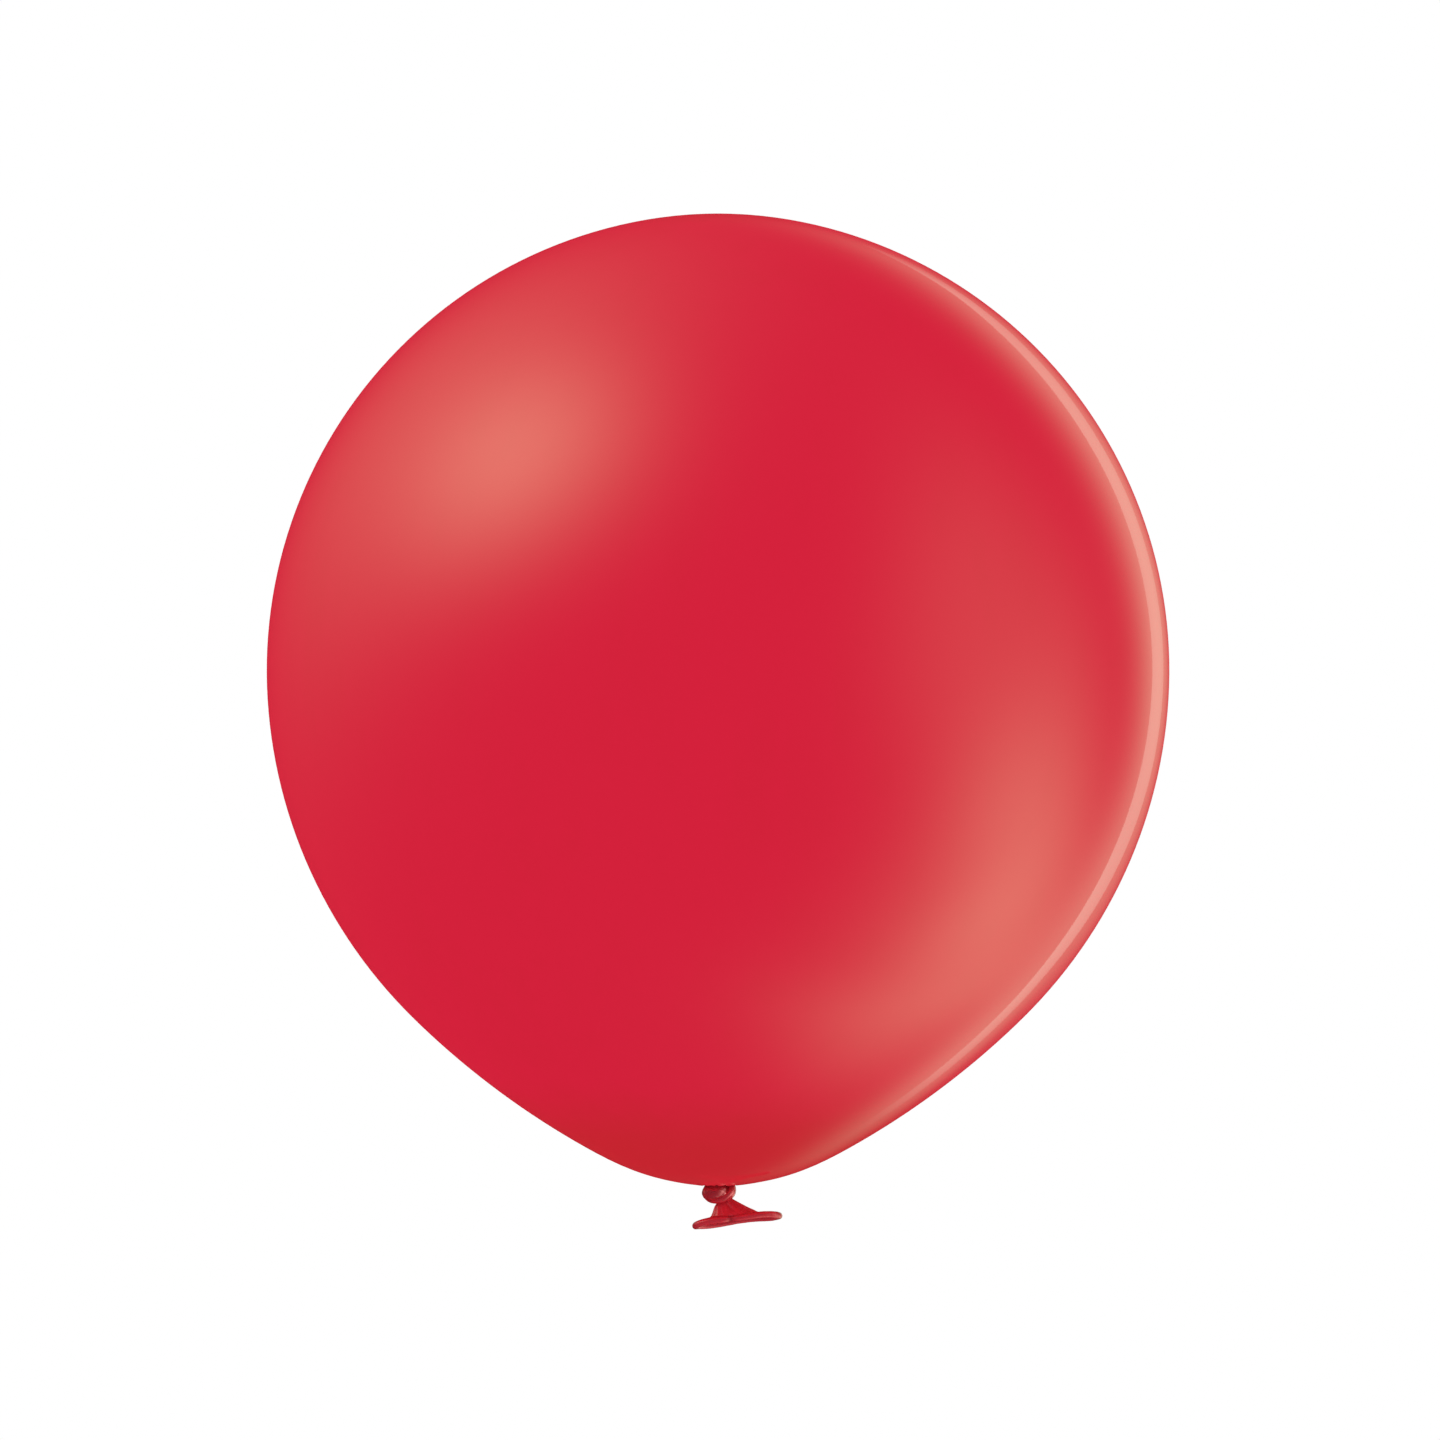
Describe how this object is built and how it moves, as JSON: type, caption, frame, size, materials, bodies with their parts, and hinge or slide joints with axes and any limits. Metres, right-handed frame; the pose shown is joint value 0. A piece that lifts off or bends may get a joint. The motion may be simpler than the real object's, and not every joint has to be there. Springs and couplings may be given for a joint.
{
  "type": "latex balloon",
  "caption": "Large round red latex party balloon, inflated and closed with an overhand knot, with a flared tail and a rolled lip below the knot.",
  "frame": {"origin": "the waist of the gathered neck on the balloon's axis, between the envelope and the knot, where a ribbon ties", "axes": "+Z from the knot up the balloon's axis to its crown, +X towards the side that the tail leans to, +Y away from the front view"},
  "size_m": [0.6, 0.5998, 0.6759],
  "materials": {
    "stretched_film": "taut, smooth, soft gloss, slightly translucent",
    "gathered_film": "pleated and knotted, satin",
    "slack_film": "slack, creased, satin",
    "rolled_bead": "rolled, smooth, soft gloss"
  },
  "bodies": {
    "envelope": {"envelope": "stretched_film", "neck": "gathered_film"},
    "knot": {"knot_core": "gathered_film", "knot_loop": "gathered_film"},
    "stem": {"tail_stem": "gathered_film"},
    "tail": {"tail_flare": "slack_film", "rim_bead": "rolled_bead"}
  },
  "joints": [
    {"name": "knot_pull", "type": "slide", "parent": "envelope", "child": "knot", "axis": [0, 0, -1], "range_m": [0, 0.012], "stiffness_N_per_m": 60, "deforming": ["neck"]},
    {"name": "tail_sway", "type": "hinge", "parent": "knot", "child": "stem", "pos_m": [0.0035, 0, -0.0154], "axis": [0, 1, 0], "range_deg": [-22, 22], "stiffness_Nm_per_rad": 0.001},
    {"name": "tail_flap", "type": "hinge", "parent": "stem", "child": "tail", "pos_m": [0.0046, 0, -0.0194], "axis": [1, 0, 0], "range_deg": [-40, 40], "stiffness_Nm_per_rad": 0.001}
  ]
}
